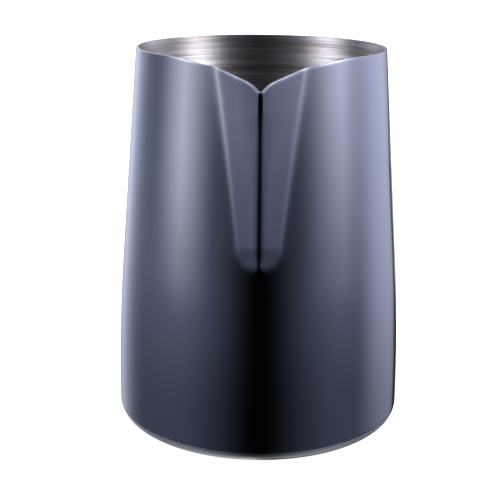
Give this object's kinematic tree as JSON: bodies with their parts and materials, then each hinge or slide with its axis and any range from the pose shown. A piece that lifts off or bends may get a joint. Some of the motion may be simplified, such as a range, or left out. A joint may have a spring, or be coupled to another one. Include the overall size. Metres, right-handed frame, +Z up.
{
  "type": "milk frothing pitcher",
  "caption": "Tapered steel jug for steaming milk, with a pressed V spout, a dark glossy outside, a brushed bare inside and a strap handle.",
  "frame": {"origin": "on the jug's axis, at the surface it stands on", "axes": "+Z up, the spout points to -Y, the handle to +Y"},
  "size_m": [0.0882, 0.1236, 0.115],
  "materials": {
    "coated_steel": "glossy dark blue-grey coating over steel",
    "bare_steel": "brushed round the axis"
  },
  "bodies": {
    "root": {"wall_shell": "coated_steel", "base_pan": "bare_steel", "base_seam_weld": "bare_steel", "handle_strap": "coated_steel", "handle_upper_weld": "coated_steel", "handle_lower_weld": "coated_steel"}
  },
  "joints": []
}
